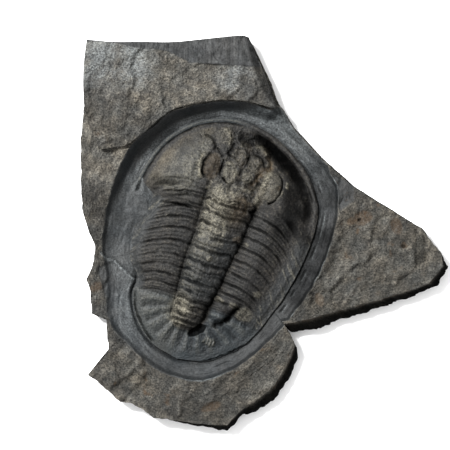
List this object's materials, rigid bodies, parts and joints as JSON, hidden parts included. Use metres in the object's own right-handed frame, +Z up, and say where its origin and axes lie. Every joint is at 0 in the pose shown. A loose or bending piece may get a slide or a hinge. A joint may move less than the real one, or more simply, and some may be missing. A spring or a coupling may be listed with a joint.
{
  "type": "trilobite fossil",
  "caption": "Large oval trilobite in relief in a carved trench, on a broken slab of dark grey shale that lies flat on its underside.",
  "frame": {"origin": "middle of the slab's underside, at the middle of its box", "axes": "+Z up out of the fossil, +Y towards the head end of the slab, +X to the right seen from above"},
  "size_m": [0.227, 0.2444, 0.024],
  "materials": {
    "shale": "dark grey shale, rough and grainy on its split faces, smooth blue-grey where the trench was carved",
    "fossil_carapace": "mineralised carapace, dark grey-brown with a low satin sheen on worn rings and ribs"
  },
  "bodies": {
    "root": {"shale_matrix": "shale", "trilobite": "fossil_carapace"}
  },
  "joints": []
}
